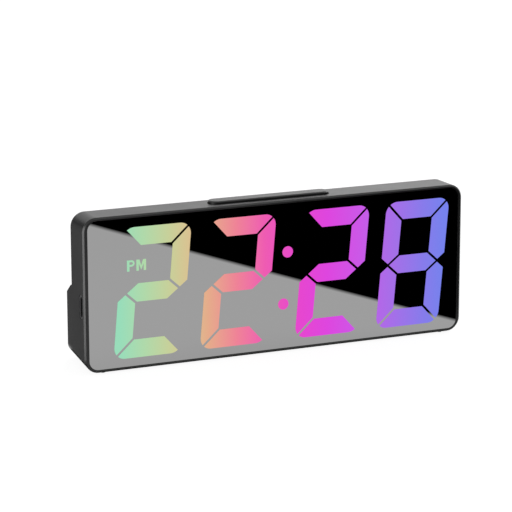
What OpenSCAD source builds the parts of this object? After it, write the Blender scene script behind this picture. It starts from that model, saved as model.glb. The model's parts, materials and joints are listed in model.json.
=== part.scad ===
// Slab alarm clock with a mirror lens, a four-digit segment display and a snooze bar.
// Working frame: x to the right, y into the depth from the lens face, z up along the face.
// Every module stands in that frame; stand() leans it back and sets its feet on the table.

/* [Digits] */
// Width of one digit, before its slant
digit_w = 28.2; // [24:0.1:32]
// Height of one digit
digit_h = 51.3; // [46:0.1:58]
// Width of a segment
seg_t = 7.4; // [6:0.1:8]
// Rib between two segments
seg_gap = 0.65; // [0.5:0.05:0.9]
// Outer corner radius of a digit
digit_r = 4.8; // [3.5:0.1:5.5]
// Depth of the notch beside the middle bar
pinch = 3; // [2:0.1:3.6]
// Slant of the digits to the right, in degrees
slant = 5.6; // [3:0.1:6.5]
// Space between the digits of a pair
digit_space = 7.3; // [6.8:0.1:10]
// Space between the pairs, for the colon
colon_space = 12.1; // [11:0.1:16]
// Radius of a colon dot
colon_r = 2.4; // [1.8:0.1:2.8]
// Distance between the colon dots
colon_pitch = 20.7; // [16:0.1:26]
// Width of the window of the PM mark
pm_w = 9; // [7:0.1:10]
// Height of the window of the PM mark
pm_h = 5.6; // [4:0.1:7]

/* [Face] */
// From the left edge of the housing to the first digit
margin_left = 13.7; // [13:0.1:18]
// From the last digit to the right edge of the housing
margin_right = 7.8; // [7.6:0.1:12]
// From the digits up to the top edge of the housing
margin_top = 4.6; // [4.5:0.1:8]
// From the digits down to the bottom edge of the housing
margin_bottom = 4.3; // [4.2:0.1:8]
// Corner radius of the housing, seen from the front
corner_r = 5.5; // [4.5:0.1:7]
// Bevel around the front edge
edge_bevel = 0.6; // [0.3:0.05:0.8]
// Width of the rim above and below the lens
rim = 1.2; // [1.1:0.05:1.7]
// Thickness of the lens
lens_t = 1.5; // [1:0.1:2.5]

/* [Housing] */
// Wall thickness of the housing
wall = 1.75; // [1.5:0.05:2.2]
// Depth of the upper half
depth_top = 14.3; // [14:0.1:16]
// Height of the back step above the middle of the face
step_z = 1.9; // [1:0.1:4]
// Height over which the back step slopes
step_rise = 4.4; // [4:0.1:7]
// Lean of the face, in degrees
lean = 8.5; // [6:0.1:10]
// Radius at the foot of the upper half's back
step_r = 2; // [1:0.1:3]
// Bevel around the back of the upper half
back_bevel = 1; // [0.4:0.1:1.2]
// Radius of the lower half's level back edge
back_r = 1; // [0.8:0.1:1.6]
// Radius of the lower half's upright back edges
side_r = 1.4; // [0.8:0.1:1.6]
// Radius of the heel, where the back meets the underside
heel_r = 3; // [1.5:0.1:3.5]
// Thickness of the rear cover
cover_t = 1.8; // [1.5:0.1:2.2]

/* [Snooze bar] */
// Length of the snooze bar
bar_len = 50.8; // [40:0.1:60]
// From the middle of the face to the middle of the snooze bar
bar_x = -1.1; // [-2:0.1:2]
// From the front of the housing to the snooze bar
bar_front = 3.9; // [3:0.1:4.5]
// From the snooze bar to the back of the upper half
bar_back = 4.1; // [3:0.1:4.4]
// Height of the snooze bar above the housing
bar_rise = 1.15; // [1:0.05:2]
// Bevel around the top of the snooze bar
bar_edge = 0.4; // [0.2:0.05:0.6]
// Travel of the snooze bar
bar_travel = 0.6; // [0.3:0.05:0.7]

/* [Rear buttons] */
// Radius of a rear button
button_r = 3; // [2.5:0.1:4]
// Height of a rear button above the cover
button_rise = 0.8; // [0.7:0.1:1.5]
// Bevel around the top of a rear button
button_edge = 0.3; // [0.2:0.05:0.5]
// Travel of a rear button
button_travel = 0.5; // [0.25:0.05:0.6]
// Distance between rear buttons
button_pitch = 24; // [20:0.5:26]
// Height of the button row above the middle of the face
button_z = 14; // [12:0.1:15]

/* [Power and sound] */
// Width of the power socket's shell
usb_w = 8.94; // [8.9:0.01:9]
// Thickness of the power socket's shell
usb_h = 3.26; // [3.2:0.01:3.3]
// Length of the power socket's shell
usb_len = 7.35; // [6.5:0.05:8]
// Height of the power socket relative to the middle of the face
usb_z = -4.4; // [-7:0.1:-2]
// Diameter of a cell
cell_d = 10.5; // [10.2:0.1:10.5]
// Length of a cell with its nub
cell_len = 44.5; // [44:0.1:45]
// From the right edge of the housing to the middle of the battery tub
bay_side = 45.5; // [42.5:0.5:46.5]
// Radius of the buzzer
buzzer_r = 6; // [5:0.1:6.5]

/* [Feet] */
// Radius of a foot
foot_r = 1.1; // [1:0.1:2]
// Height of a foot below the housing
foot_h = 0.7; // [0.6:0.1:1.5]
// From the left or the right edge of the housing to the middle of a foot
foot_side = 8; // [8:0.1:20]
// From the front edge of the underside to a front foot
foot_front = 2.7; // [2.4:0.1:5]
// From the back edge of the underside to a rear foot
foot_back = 4.3; // [4.2:0.1:5]

/* [Hidden] */
$fn = 48;
arc_steps = 4;

// Thin layers and inner pieces
tape_t = 0.2;
film_t = 0.25;
ledge_w = 2;
ledge_t = 1.2;
ledge_corner = 3;
guide_t = 1.2;
well_t = 1.9;
well_inset = 0.7;
pcb_t = 1.6;
led_size = [2.2, 0.8, 1.4];
tub_floor_t = 0.8;
tub_wall = 1;
door_t = 1.4;
contact_t = 0.3;
contact_half = 3;
leaf_reach = 5;
switch_w = 6;
button_room = 2.05;

// Clearances
lens_gap = 0.1;
guide_gap = 0.05;
reflector_gap = 0.2;
reflector_seat = 0.6;
cover_gap = 0.15;
slot_gap = 0.3;
button_gap = 0.25;
plunger_gap = 0.05;
usb_gap = 0.1;
cell_gap = 0.2;
door_gap = 0.25;
tub_gap = 0.2;
screw_gap = 0.02;
notch_gap = 0.3;
seam_lap = 0.02;

// Radius of the lower corners, a touch wider than the bevel's
low_corner_r = corner_r + 0.3;

// The face, worked out from the digits and the margins
body_w = margin_left + 4 * digit_w + 2 * digit_space + colon_space + margin_right;
body_h = margin_top + digit_h + margin_bottom;
display_x = -body_w / 2 + margin_left;
display_z = -body_h / 2 + margin_bottom + digit_h / 2;
colon_x = display_x + 2 * digit_w + digit_space + colon_space / 2;
window_w = body_w - 2 * (wall + ledge_w);
window_h = body_h - 2 * (wall + ledge_w);

// The stack behind the lens, front to back
y_ledge = lens_t + tape_t;
y_film = y_ledge + film_t;
y_ledge_back = y_ledge + ledge_t;
y_well = y_film + guide_t;
y_pcb = y_well + well_t;
y_pcb_back = y_pcb + pcb_t;
y_tub = y_pcb_back + tub_gap;
y_tub_in = y_tub + tub_floor_t;
cell_y = y_tub_in + cell_gap + cell_d / 2;
depth_low = cell_y + cell_d / 2 + cell_gap + 0.05 + door_t;
y_cover_in = depth_top - cover_t;
y_cover_low = depth_low - cover_t;
y_switch = y_cover_in - button_room;

// The back step
step_low = step_z - step_rise;
step_angle = atan2(depth_low - depth_top, step_rise);
cover_shift = cover_t * tan(step_angle / 2);
floor_rear = -body_h / 2 + depth_low * tan(lean);

// Reflector and circuit board
base_w = window_w + 2 * reflector_seat;
base_h = window_h + 2 * reflector_seat;
pcb_side = 1;
pcb_end = 2;
pcb_w = base_w - 2 * pcb_side;
pcb_h = base_h - 2 * pcb_end;
pm_in = 2.9;
pm_drop = 14.95;
pm_x = display_x + pm_w / 2 + pm_in;
pm_z = display_z + digit_h / 2 - pm_drop;
colon_drop = 0.6;

// Housing bosses, and the screws in them
boss_r = 2.2;
screw_r = 1;
screw_len = 7;
head_r = 1.8;
head_t = 0.9;
sink_t = 1;
boss_in = 0.65;
boss_side = 1;
boss_up = 9.5;
top_boss_z = body_h / 2 - wall - boss_r - boss_in;
low_boss_x = body_w / 2 - wall - boss_r - boss_side;
low_boss_z = -body_h / 2 + boss_up;
top_bosses = [for (d = [0, 2]) [gap_x(d) + rise_x(top_boss_z), top_boss_z]];
low_bosses = [for (s = [-1, 1]) [s * low_boss_x, low_boss_z]];

// Screws that hold the board to the reflector
pcb_screw_r = 0.8;
pcb_head_r = 1.5;
pcb_head_t = 0.8;
pcb_screw_len = pcb_t + well_t - 0.1;
pcb_screw_in = 3.5;
pcb_screw_side = 5;
pcb_screw_z = digit_h / 2 - pcb_screw_in;
right_edge = display_x + 4 * digit_w + 2 * digit_space + colon_space;
pcb_screws_at = [
    [colon_x + rise_x(pcb_screw_z), pcb_screw_z],
    [colon_x + rise_x(-pcb_screw_z), -pcb_screw_z],
    [display_x - pcb_screw_side, 2.8 * pcb_screw_side],
    [right_edge + pcb_screw_side / 4, -3 * pcb_screw_side],
];

// Battery tub and door
cell_pitch = cell_d + cell_gap / 2;
bay_len = leaf_reach + cell_len + contact_t + cell_gap;
bay_h = 2 * cell_d + 2 * cell_gap;
bay_rise = 0.5;
bay_z = step_low - cell_d + bay_rise;
bay_x = body_w / 2 - bay_side;
bay_x0 = bay_x - bay_len / 2;
door_lip = 1.6;
door_end = 0.4;
door_top = 0.8;
door_low = 1.5;
open_x0 = bay_x0 + door_lip;
open_x1 = bay_x0 + bay_len - door_end;
open_z1 = step_low - door_top;
open_z0 = bay_z - bay_h / 2 + door_low;
tab_reach = 1.1;
tab_t = 0.8;
tab_w = 4;
tab_drop = 0.3;
cell_rows = [bay_z + cell_pitch / 2, bay_z - cell_pitch / 2];

// Snooze bar and its switch
bar_w = depth_top - bar_front - bar_back;
bar_y = bar_front + bar_w / 2;
bar_under = 0.75;
bar_bottom = body_h / 2 - wall - bar_under;
snooze_t = 3.5;
snooze_in = 0.5;
snooze_y = y_pcb_back + snooze_t / 2;
snooze_top = pcb_h / 2 - snooze_in;
snooze_body = 4.5;
plunger_r = 1.2;
plunger_out = 1;
plunger_in = 0.9;
plunger_room = 0.1;

// Rear buttons
button_x = [for (i = [0 : 3]) (1.5 - i) * button_pitch];
flange_t = 0.8;
flange_w = 0.8;
flange_gap = 0.1;
rear_plunger_r = 1.5;
rear_plunger_out = 0.8;
rear_plunger_in = 0.7;

// Inner pieces behind the board: middle of each, seen from the front
buzzer_at = [pcb_w / 2 - 2.7 * buzzer_r, 2 * buzzer_r];
buzzer_gap = 0.55;
buzzer_t = y_cover_in - y_pcb_back - buzzer_gap;
post_r = 1.5;
post_in = 12;
posts_at = [
    [post_in - pcb_w / 2, pcb_h / 2 - post_in / 2],
    [pcb_w / 2 - 0.7 * post_in, pcb_h / 2 - 0.3 * post_in],
];
low_post_at = [post_in - pcb_w / 2, 0.7 * post_in - pcb_h / 2];
driver_size = [12.8, 2.2, 7.5];
driver_at = [gap_x(0), -0.8 * driver_size.z];
control_size = [8.6, 1.5, 3.9];
control_at = [digit_x(0), control_size.z / 2];
chip_leg = [0.4, 0.8, 1.2];
chip_up = 0.1;
crystal_r = 1.5;
crystal_len = 6.5;
crystal_at = [digit_x(0) - crystal_len / 2, -6 * crystal_r];
can_r = 3.15;
can_len = 7;
can_foot = 0.6;
can_at = [digit_x(1), -4 * can_r];

// Placing on the table
lift = foot_h + body_h / 2 * cos(lean);
y_front_end = -(body_h / 2 - edge_bevel) * sin(lean);
back_bend = [depth_low - back_r, step_low - back_r * tan(step_angle / 2)];
y_back_end = back_bend.x * cos(lean) + back_bend.y * sin(lean) + back_r;
y_shift = -(y_front_end + y_back_end) / 2;
foot_seat = 0.6;
foot_x = body_w / 2 - foot_side;

ALL_SEGMENTS = ["abcdeg", "abcdefg", "abcdefg", "abcdefg"];
LIT_SEGMENTS = ["abdeg", "abdeg", "abdeg", "abcdefg"];

// Sideways shift of the slanted display at height z
function rise_x(z) = (z - display_z) * tan(slant);

// Middle of digit d, and of the gap to its right
function digit_x(d) = display_x + digit_w / 2 + d * digit_w + (d > 1 ? d - 1 : d) * digit_space
    + (d > 1 ? colon_space : 0);
function gap_x(d) = digit_x(d) + digit_w / 2 + digit_space / 2;

// Points of an arc
function arc(centre, r, from, to) =
    [for (k = [0 : arc_steps])
        let (a = from + (to - from) * k / arc_steps)
        centre + r * [cos(a), sin(a)]];

// Centre and ends of a fillet of radius r at a corner between its neighbours
function unit(v) = v / norm(v);
function half_angle(before, at, after) = acos(unit(before - at) * unit(after - at)) / 2;
function fillet_centre(before, at, after, r) =
    at + unit(unit(before - at) + unit(after - at)) * r / sin(half_angle(before, at, after));
function fillet_ends(before, at, after, r) =
    [for (p = [before, after]) at + unit(p - at) * r / tan(half_angle(before, at, after))];

// Outlines of the segments of one digit, drawn in by inset, with the digit's middle at the origin
mid_angle = atan2(seg_t / 2, seg_t - pinch);
function upper_left(inset) =
    let (
        x = -digit_w / 2,
        z = digit_h / 2,
        r = digit_r - inset,
        half = seg_gap / 2 + inset,
        mid = half / cos(mid_angle),
        inner = seg_t - inset
    )
    concat(
        arc([x + digit_r, z - digit_r], r, 180, 135 + asin(half / r)),
        [[x + inner, z - inner - half * sqrt(2)],
         [x + inner, (inner - pinch) * tan(mid_angle) + mid],
         [x + pinch, mid],
         [x + inset, (pinch - inset) * tan(mid_angle) + mid]]
    );
function top_bar(inset) =
    let (
        x = digit_w / 2,
        z = digit_h / 2,
        r = digit_r - inset,
        half = seg_gap / 2 + inset,
        inner = seg_t - inset
    )
    concat(
        arc([-x + digit_r, z - digit_r], r, 135 - asin(half / r), 90),
        arc([x - digit_r, z - digit_r], r, 90, 45 + asin(half / r)),
        [[x - inner - half * sqrt(2), z - inner],
         [-x + inner + half * sqrt(2), z - inner]]
    );
function middle_bar(inset) =
    let (
        run = (seg_gap / 2 + inset) / sin(mid_angle),
        tip = digit_w / 2 - pinch - run,
        high = seg_t / 2 - inset,
        flat = tip - high / tan(mid_angle)
    )
    [[-tip, 0], [-flat, high], [flat, high], [tip, 0], [flat, -high], [-flat, -high]];
function flip_x(points) = [for (p = points) [-p.x, p.y]];
function flip_z(points) = [for (p = points) [p.x, -p.y]];
function segment(name, inset) =
    name == "a" ? top_bar(inset) :
    name == "b" ? flip_x(upper_left(inset)) :
    name == "c" ? flip_x(flip_z(upper_left(inset))) :
    name == "d" ? flip_z(top_bar(inset)) :
    name == "e" ? flip_z(upper_left(inset)) :
    name == "f" ? upper_left(inset) :
    middle_bar(inset);
function slanted(points) = [for (p = points) [p.x + p.y * tan(slant), p.y]];
function has(letters, letter) = len(search(letter, letters)) > 0;
function dark(d) = [for (s = ALL_SEGMENTS[d]) if (!has(LIT_SEGMENTS[d], s)) s];

// Places of the two lamps of a segment, with the digit's middle at the origin
function lamps(name) =
    let (
        x = (digit_w - seg_t) / 2,
        z = (digit_h - seg_t) / 4,
        apart = digit_w / 8
    )
    has("adg", name)
        ? [for (s = [-1, 1]) [s * apart, name == "a" ? 2 * z : name == "d" ? -2 * z : 0]]
        : [for (s = [-1, 1]) [has("bc", name) ? x : -x, (has("bf", name) ? z : -z) + s * apart]];

module stand() {
    translate([0, y_shift, lift]) rotate([-lean, 0, 0]) children();
}

// Extrusions along each axis: flat shapes are drawn as (x, z), (y, z) and (x, y)
module along_y(from, to) {
    translate([0, to, 0]) rotate([90, 0, 0]) linear_extrude(to - from) children();
}
module along_x(from, to) {
    translate([from, 0, 0]) rotate([90, 0, 90]) linear_extrude(to - from) children();
}
module along_z(from, to) {
    translate([0, 0, from]) linear_extrude(to - from) children();
}

module rounded_rect(w, h, r) {
    square([w - 2 * r, h], center = true);
    square([w, h - 2 * r], center = true);
    for (sx = [-1, 1], sy = [-1, 1]) translate([sx * (w / 2 - r), sy * (h / 2 - r)]) circle(r);
}

// Outline of the face, drawn in by inset
module face_outline(inset) {
    rounded_rect(body_w - 2 * inset, body_h - 2 * inset, corner_r - inset);
}

// Outline of the pocket that the lens sits in, drawn in by gap
module lens_outline(gap) {
    rounded_rect(body_w - 2 * (wall + gap), body_h - 2 * (rim + gap), corner_r - wall - gap);
}

module stadium(length, width) {
    square([length - width, width], center = true);
    for (s = [-1, 1]) translate([s * (length - width) / 2, 0]) circle(width / 2);
}

// Straight-sided form of the housing drawn in by inset: rounded above, and parallel to the table below
module sleeve(inset, from, to) {
    intersection() {
        along_y(from, to) {
            face_outline(inset);
            translate([-body_w / 2 + inset, -body_h]) square([body_w - 2 * inset, body_h]);
        }
        translate([0, 0, -body_h / 2]) rotate([lean, 0, 0]) along_y(-body_h, 2 * depth_low)
            translate([0, inset + body_h])
                rounded_rect(body_w - 2 * inset, 2 * body_h, low_corner_r - inset);
    }
}

// Convex outline with a fillet of the given radius at each corner, or none where it is 0
module filleted(points, radii) {
    n = len(points);
    polygon([for (i = [0 : n - 1])
        each radii[i] == 0
            ? [points[i]]
            : fillet_ends(points[(i + n - 1) % n], points[i], points[(i + 1) % n], radii[i])]);
    for (i = [0 : n - 1]) if (radii[i] > 0)
        translate(fillet_centre(points[(i + n - 1) % n], points[i], points[(i + 1) % n], radii[i]))
            circle(radii[i]);
}

// Side outlines of the upper slab, of the lower half and of the fillet between them, as (y, z)
ramp_top = [depth_top, step_z];
ramp_end = [depth_low, step_low];
module slab_side() {
    high = body_h / 2 + seam_lap;
    low = step_low - back_r;
    polygon([[0, low], [0, high], [depth_top, high], [depth_top, low]]);
}
module lower_side() {
    front = [0, -body_h / 2 - seam_lap];
    heel = [depth_low, floor_rear - seam_lap];
    filleted([front, [0, step_z], ramp_top, ramp_end, heel], [0, 0, 0, back_r, heel_r]);
}
module step_side() {
    sink = [seam_lap, seam_lap];
    above = [depth_top, body_h / 2] - sink;
    ends = fillet_ends(above, ramp_top - sink, ramp_end - sink, step_r);
    centre = fillet_centre(above, ramp_top - sink, ramp_end - sink, step_r);
    difference() {
        polygon([ends[0] - [1, 0], ends[0], centre, ends[1], ends[1] - [1, 1]]);
        translate(centre) circle(step_r);
    }
}

// Plan of a part of the given depth, with rounded back corners, as (x, y)
module plan(depth) {
    translate([-body_w / 2, -depth]) square([body_w, 2 * depth - side_r]);
    translate([-body_w / 2 + side_r, -depth]) square([body_w - 2 * side_r, 2 * depth]);
    for (s = [-1, 1]) translate([s * (body_w / 2 - side_r), depth - side_r]) circle(side_r);
}

// Space behind a plane at the bevel's depth, and the bevelled slab in front of it
module bevelled_front() {
    x = body_w / 2;
    z = body_h / 2;
    for (sx = [-1, 1], sz = [-1, 1])
        translate([sx * (x - corner_r), 0, sz * (z - corner_r)]) rotate([-90, 0, 0])
            cylinder(h = edge_bevel, r1 = corner_r - edge_bevel, r2 = corner_r);
    along_x(-x + corner_r, x - corner_r)
        polygon([[0, -z + edge_bevel], [0, z - edge_bevel], [edge_bevel, z], [edge_bevel, -z]]);
    along_z(-z + corner_r, z - corner_r)
        polygon([[-x + edge_bevel, 0], [x - edge_bevel, 0], [x, edge_bevel], [-x, edge_bevel]]);
    translate([-body_w, edge_bevel, -body_h]) cube([2 * body_w, 2 * depth_low, 2 * body_h]);
}

// Space of the upper half, with a bevel around its back
module bevelled_slab() {
    x = body_w / 2;
    z = body_h / 2;
    low = step_low - back_r;
    y = depth_top - back_bevel;
    for (s = [-1, 1]) translate([s * (x - corner_r), y, z - corner_r]) rotate([-90, 0, 0])
        cylinder(h = back_bevel, r1 = corner_r, r2 = corner_r - back_bevel);
    along_x(-x + corner_r, x - corner_r)
        polygon([[y, low], [y, z], [depth_top, z - back_bevel], [depth_top, low]]);
    along_z(low, z - corner_r)
        polygon([[-x, y], [x, y], [x - back_bevel, depth_top], [-x + back_bevel, depth_top]]);
    translate([-body_w, -depth_top, low]) cube([2 * body_w, y + depth_top, 2 * body_h]);
}

module housing_form() {
    intersection() {
        union() {
            intersection() {
                sleeve(0, 0, depth_top);
                bevelled_slab();
            }
            intersection() {
                sleeve(0, 0, depth_low);
                along_x(-body_w, body_w) lower_side();
                along_z(-body_h, body_h) plan(depth_low);
            }
            along_x(-body_w / 2 + side_r, body_w / 2 - side_r) step_side();
        }
        bevelled_front();
    }
}

module boss(at, end, web) {
    translate([at.x, 0, at.y]) {
        along_y(y_ledge_back, end) circle(boss_r);
        translate([min(0, web.x), y_ledge_back, min(0, web.y)])
            cube([max(abs(web.x), boss_r), end - y_ledge_back, max(abs(web.y), boss_r)]);
    }
}

module usb_outline(grow) {
    translate([y_pcb - usb_h / 2, usb_z]) rotate(90) stadium(usb_w + 2 * grow, usb_h + 2 * grow);
}

module foot_places(y) {
    for (s = [-1, 1]) translate([s * foot_x, y, 0]) children();
}
front_foot_y = y_shift - body_h / 2 * sin(lean) + foot_front;
rear_foot_y = front_foot_y + depth_low / cos(lean) - foot_front - foot_back;

module housing() {
    color("#2b2b2c") difference() {
        stand() difference() {
            union() {
                difference() {
                    housing_form();
                    along_y(-1, y_ledge) lens_outline(0);
                    along_y(0, y_ledge_back + 1) rounded_rect(window_w, window_h, ledge_corner);
                    sleeve(wall, y_ledge_back, 2 * depth_low);
                }
                for (at = top_bosses) boss(at, y_cover_in, [0, body_h / 2 - wall / 2 - at.y]);
                for (at = low_bosses)
                    boss(at, y_cover_low, [sign(at.x) * (body_w / 2 - wall / 2 - abs(at.x)), 0]);
            }
            for (at = top_bosses) translate([at.x, 0, at.y])
                along_y(y_cover_in - screw_len, y_cover_in + 1) circle(screw_r + screw_gap);
            for (at = low_bosses) translate([at.x, 0, at.y])
                along_y(y_cover_low - screw_len, y_cover_low + 1) circle(screw_r + screw_gap);
            along_z(body_h / 2 - wall - 1, body_h) translate([bar_x, bar_y])
                stadium(bar_len + 2 * slot_gap, bar_w + 2 * slot_gap);
            along_x(-body_w, -body_w / 2 + wall + ledge_w) usb_outline(usb_gap);
            along_x(-body_w, -body_w / 2 + usb_lip) usb_outline(usb_gap + usb_lip);
        }
        foot_places(front_foot_y) cylinder(h = foot_h + foot_seat, r = foot_r + lens_gap);
        foot_places(rear_foot_y) cylinder(h = foot_h + foot_seat, r = foot_r + lens_gap);
    }
}

module lens() {
    color("#0b0b0d", 0.55) stand() along_y(0, lens_t) lens_outline(lens_gap);
}

module lens_tape() {
    color("#1d1d1d") stand() along_y(lens_t, y_ledge) difference() {
        lens_outline(reflector_gap);
        rounded_rect(window_w + 2 * reflector_gap, window_h + 2 * reflector_gap, ledge_corner);
    }
}

module diffuser_film() {
    color("#e8e8e8", 0.8) stand() along_y(y_ledge, y_film) difference() {
        rounded_rect(window_w - 2 * reflector_gap, window_h - 2 * reflector_gap, ledge_corner);
        socket_notch();
    }
}

// One flat shape per segment, drawn in by inset
module segment_shapes(letters, inset) {
    for (d = [0 : 3], s = letters[d])
        translate([digit_x(d), display_z]) polygon(slanted(segment(s, inset)));
}
module colon_shapes(inset) {
    for (s = [-1, 1]) {
        z = display_z - colon_drop + s * colon_pitch / 2;
        translate([colon_x + rise_x(z), z]) circle(colon_r - inset);
    }
}
module pm_shape(inset) {
    translate([pm_x, pm_z]) square([pm_w - 2 * inset, pm_h - 2 * inset], center = true);
}
module all_wells(inset) {
    segment_shapes(ALL_SEGMENTS, inset);
    colon_shapes(inset);
    pm_shape(inset);
}

// Room that the reflector and the board leave for the bosses and the power socket
module boss_notches() {
    r = boss_r + notch_gap;
    for (at = top_bosses) translate(at) {
        circle(r);
        translate([-r, 0]) square([2 * r, body_h]);
    }
    for (at = low_bosses) translate(at) {
        circle(r);
        translate([at.x < 0 ? -body_w : 0, -r]) square([body_w, 2 * r]);
    }
}
module socket_notch() {
    edge = usb_mouth + usb_len + notch_gap;
    translate([edge - body_w, usb_z - usb_w / 2 - notch_gap]) square([body_w, usb_w + 2 * notch_gap]);
}

module display_reflector() {
    color("#f2f2ee") stand() {
        along_y(y_film, y_ledge_back) difference() {
            rounded_rect(window_w - 2 * reflector_gap, window_h - 2 * reflector_gap, ledge_corner);
            all_wells(0);
            boss_notches();
            socket_notch();
        }
        along_y(y_ledge_back, y_well) difference() {
            rounded_rect(base_w, base_h, ledge_corner);
            all_wells(0);
            boss_notches();
            socket_notch();
        }
        along_y(y_well, y_pcb) difference() {
            rounded_rect(base_w, base_h, ledge_corner);
            all_wells(well_inset);
            boss_notches();
            socket_notch();
            for (at = pcb_screws_at) translate(at) circle(pcb_screw_r + screw_gap);
        }
    }
}

module lit_segments() {
    color("#e24fd6") stand() along_y(y_film, y_well) segment_shapes(LIT_SEGMENTS, guide_gap);
}

module dark_segments() {
    color("#cfcfcf") stand() along_y(y_film, y_well)
        segment_shapes([for (d = [0 : 3]) dark(d)], guide_gap);
}

module colon_dots() {
    color("#ee4fc0") stand() along_y(y_film, y_well) colon_shapes(guide_gap);
}

module pm_window() {
    color("#a5dcb0") stand() along_y(y_film, y_well) pm_shape(guide_gap);
}

module main_pcb() {
    color("#1f6b3a") stand() along_y(y_pcb, y_pcb_back) difference() {
        square([pcb_w, pcb_h], center = true);
        boss_notches();
        for (at = pcb_screws_at) translate(at) circle(pcb_screw_r + reflector_gap / 2);
    }
}

module led_chip(at) {
    translate([at.x, y_pcb - led_size.y / 2, at.y]) cube(led_size, center = true);
}

module led_chips() {
    color("#f5e9b8") stand() {
        for (d = [0 : 3], s = ALL_SEGMENTS[d], at = lamps(s))
            led_chip([digit_x(d) + at.x + at.y * tan(slant), display_z + at.y]);
        for (s = [-1, 1]) {
            z = display_z - colon_drop + s * colon_pitch / 2;
            led_chip([colon_x + rise_x(z), z]);
        }
        led_chip([pm_x, pm_z]);
    }
}

// A chip body on the back of the board, with gull-wing legs along two sides
module chip(at, size, legs) {
    translate([at.x, y_pcb_back, at.y]) {
        translate([-size.x / 2, chip_up, -size.z / 2]) cube(size);
        for (i = [0 : legs - 1], s = [-1, 1])
            translate([(i + 0.5) * size.x / legs - size.x / 2, chip_leg.y / 2, s * size.z / 2])
                cube([chip_leg.x, chip_leg.y, 2 * chip_leg.z], center = true);
    }
}

module control_chips() {
    color("#151515") stand() {
        chip(driver_at, driver_size, 10);
        chip(control_at, control_size, 8);
    }
}

module crystal() {
    color("#c9cacc") stand() translate([crystal_at.x, y_pcb_back + crystal_r, crystal_at.y])
        along_x(0, crystal_len) circle(crystal_r);
}

module capacitor() {
    color("#26304f") stand() translate([can_at.x, 0, can_at.y]) {
        along_y(y_pcb_back, y_pcb_back + can_foot) square(2.1 * can_r, center = true);
        along_y(y_pcb_back + can_foot, y_pcb_back + can_len) circle(can_r);
    }
}

usb_in = 0.15;
usb_lip = 0.1;
usb_mouth = -body_w / 2 + usb_in;
usb_skin = 0.3;
usb_base = 1.8;
tongue_in = 0.8;
tongue_t = 0.7;
tongue_w = 6.7;

module usb_socket_shell() {
    color("#c4c6c8") stand() along_x(usb_mouth, usb_mouth + usb_len) difference() {
        usb_outline(0);
        usb_outline(-usb_skin);
    }
}

module usb_socket_tongue() {
    color("#101010") stand() {
        along_x(usb_mouth + usb_len - usb_base, usb_mouth + usb_len) usb_outline(-usb_skin);
        along_x(usb_mouth + tongue_in, usb_mouth + usb_len - usb_base)
            translate([y_pcb - usb_h / 2, usb_z]) square([tongue_t, tongue_w], center = true);
    }
}

// Bevelled top of the snooze bar: a cone at each end and a sloped prism between them
module bar_top() {
    straight = (bar_len - bar_w) / 2;
    half = bar_w / 2;
    for (s = [-1, 1]) translate([s * straight, 0]) cylinder(h = bar_edge, r1 = half, r2 = half - bar_edge);
    along_x(-straight, straight)
        polygon([[-half, 0], [half, 0], [half - bar_edge, bar_edge], [bar_edge - half, bar_edge]]);
}

module snooze_button() {
    tab = [1.5, 3, 0.75];
    stem = [4, 2.4];
    bevel_z = body_h / 2 + bar_rise - bar_edge;
    color("#343435") stand() {
        translate([bar_x, 0, 0]) {
            along_z(bar_bottom, bevel_z) translate([0, bar_y]) stadium(bar_len, bar_w);
            translate([0, bar_y, bevel_z]) bar_top();
            for (s = [-1, 1])
                translate([s * (bar_len / 2 - tab.x / 2) - tab.x, y_pcb + 0.6, bar_bottom - 0.4])
                    cube([2 * tab.x, tab.y, tab.z]);
        }
        translate([-stem.x / 2, snooze_y - stem.y / 2, snooze_top + plunger_out])
            cube([stem.x, stem.y, bar_bottom - snooze_top - plunger_out + 0.1]);
    }
}

module snooze_switch() {
    color("#1a1a1a") stand() difference() {
        translate([-switch_w / 2, y_pcb_back, snooze_top - snooze_body])
            cube([switch_w, snooze_t, snooze_body]);
        along_z(snooze_top - plunger_in - bar_travel - plunger_room, snooze_top + 1)
            translate([0, snooze_y]) circle(plunger_r + plunger_gap);
    }
}

module snooze_plunger() {
    color("#b5302a") stand() along_z(snooze_top - plunger_in, snooze_top + plunger_out)
        translate([0, snooze_y]) circle(plunger_r);
}

// Walls of the battery tub, closed towards the board
module tub() {
    intersection() {
        translate([bay_x0 - tub_wall, y_tub, bay_z - bay_h / 2 - tub_wall])
            cube([bay_len + 2 * tub_wall, depth_low - y_tub, bay_h + 2 * tub_wall]);
        sleeve(wall + cover_gap, 0, depth_low);
        along_x(-body_w, body_w) lower_side();
    }
}

// Everything in front of the inner face of the stepped cover, as (y, z)
module cover_inside() {
    polygon([
        [-depth_low, -2 * body_h],
        [-depth_low, 2 * body_h],
        [y_cover_in, 2 * body_h],
        [y_cover_in, step_z - cover_shift],
        [y_cover_low, step_low - cover_shift],
        [y_cover_low, -2 * body_h],
    ]);
}

module screw_recess(at, back) {
    translate([at.x, 0, at.y]) {
        along_y(back - 2 * cover_t, back + 1) circle(screw_r + reflector_gap);
        along_y(back - sink_t, back + 1) circle(head_r + reflector_gap);
    }
}

// Post that holds the board down
module post(at, end) {
    translate([at.x, 0, at.y]) along_y(y_pcb_back, end + 0.1) circle(post_r);
}

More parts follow.
